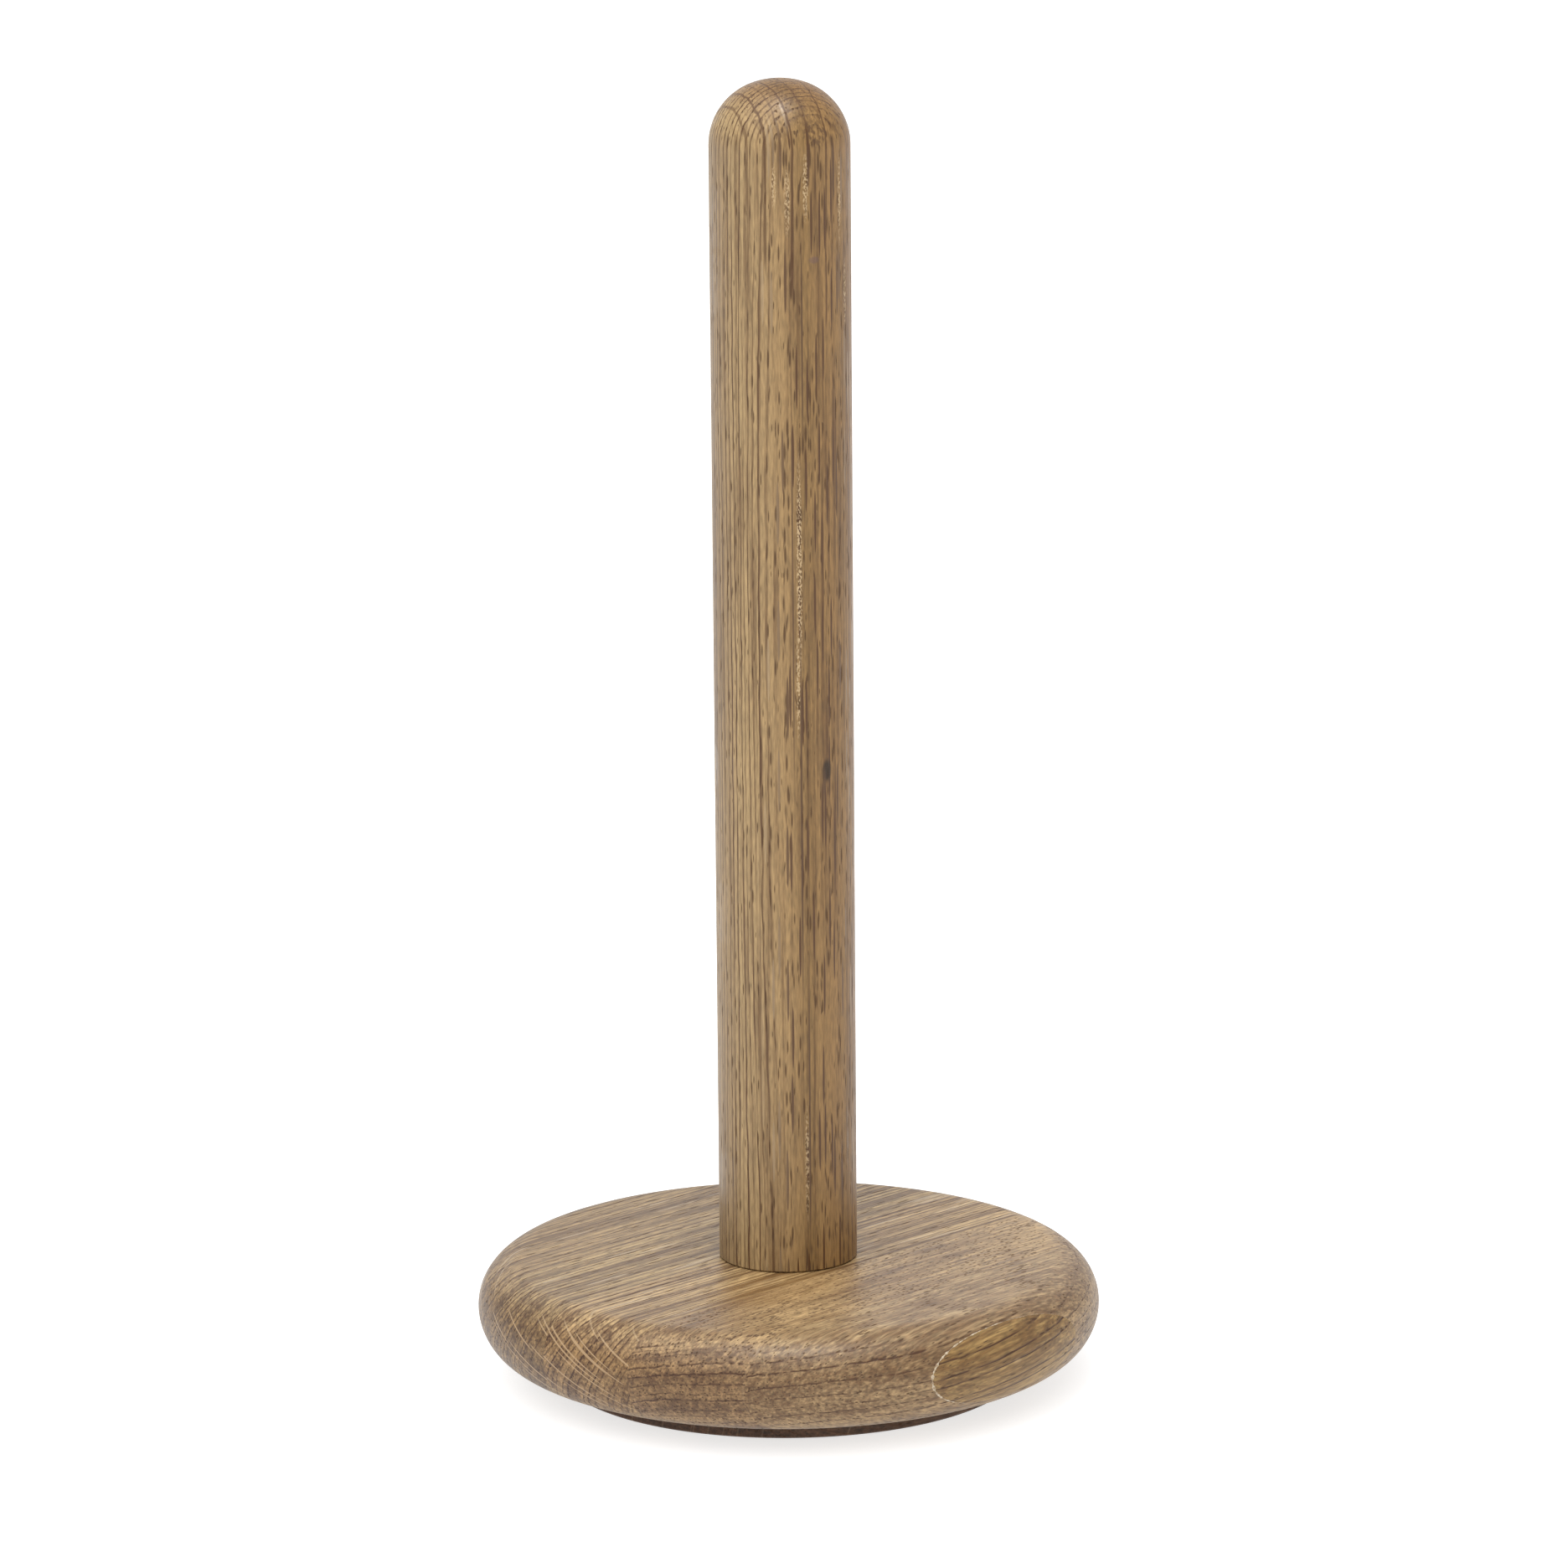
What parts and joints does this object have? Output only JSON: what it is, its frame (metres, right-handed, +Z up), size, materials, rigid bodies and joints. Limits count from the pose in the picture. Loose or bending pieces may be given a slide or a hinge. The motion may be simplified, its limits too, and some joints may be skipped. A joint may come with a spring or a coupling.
{
  "type": "paper towel holder",
  "caption": "Free-standing kitchen-roll holder: a round wooden post with a domed top on a round base with a fully rounded rim and a smaller foot disc.",
  "frame": {"origin": "middle of the underside, on the plane that the rubber pads stand on", "axes": "+Z up along the post's axis; +X to the right and +Y away from a person who faces the holder; the base's grain runs 45.7 degrees from +X towards +Y"},
  "size_m": [0.14, 0.14, 0.292],
  "materials": {
    "oak_post": "turned, sanded and oiled, satin",
    "oak_base": "turned, sanded and oiled, satin",
    "dark_oak_foot": "dark stained, matt",
    "zinc_steel": "bright zinc plated",
    "insert_brass": "as turned",
    "pad_rubber": "matt black"
  },
  "bodies": {
    "root": {"post": "oak_post", "base_stave_1": "oak_base", "base_stave_2": "oak_base", "base_stave_3": "oak_base", "base_stave_4": "oak_base", "base_stave_5": "oak_base", "base_stave_6": "oak_base", "base_stave_7": "oak_base", "foot_disc": "dark_oak_foot", "centre_bolt": "zinc_steel", "bolt_washer": "zinc_steel", "threaded_insert": "insert_brass", "foot_screws": "zinc_steel", "anti_slip_pads": "pad_rubber"}
  },
  "joints": []
}
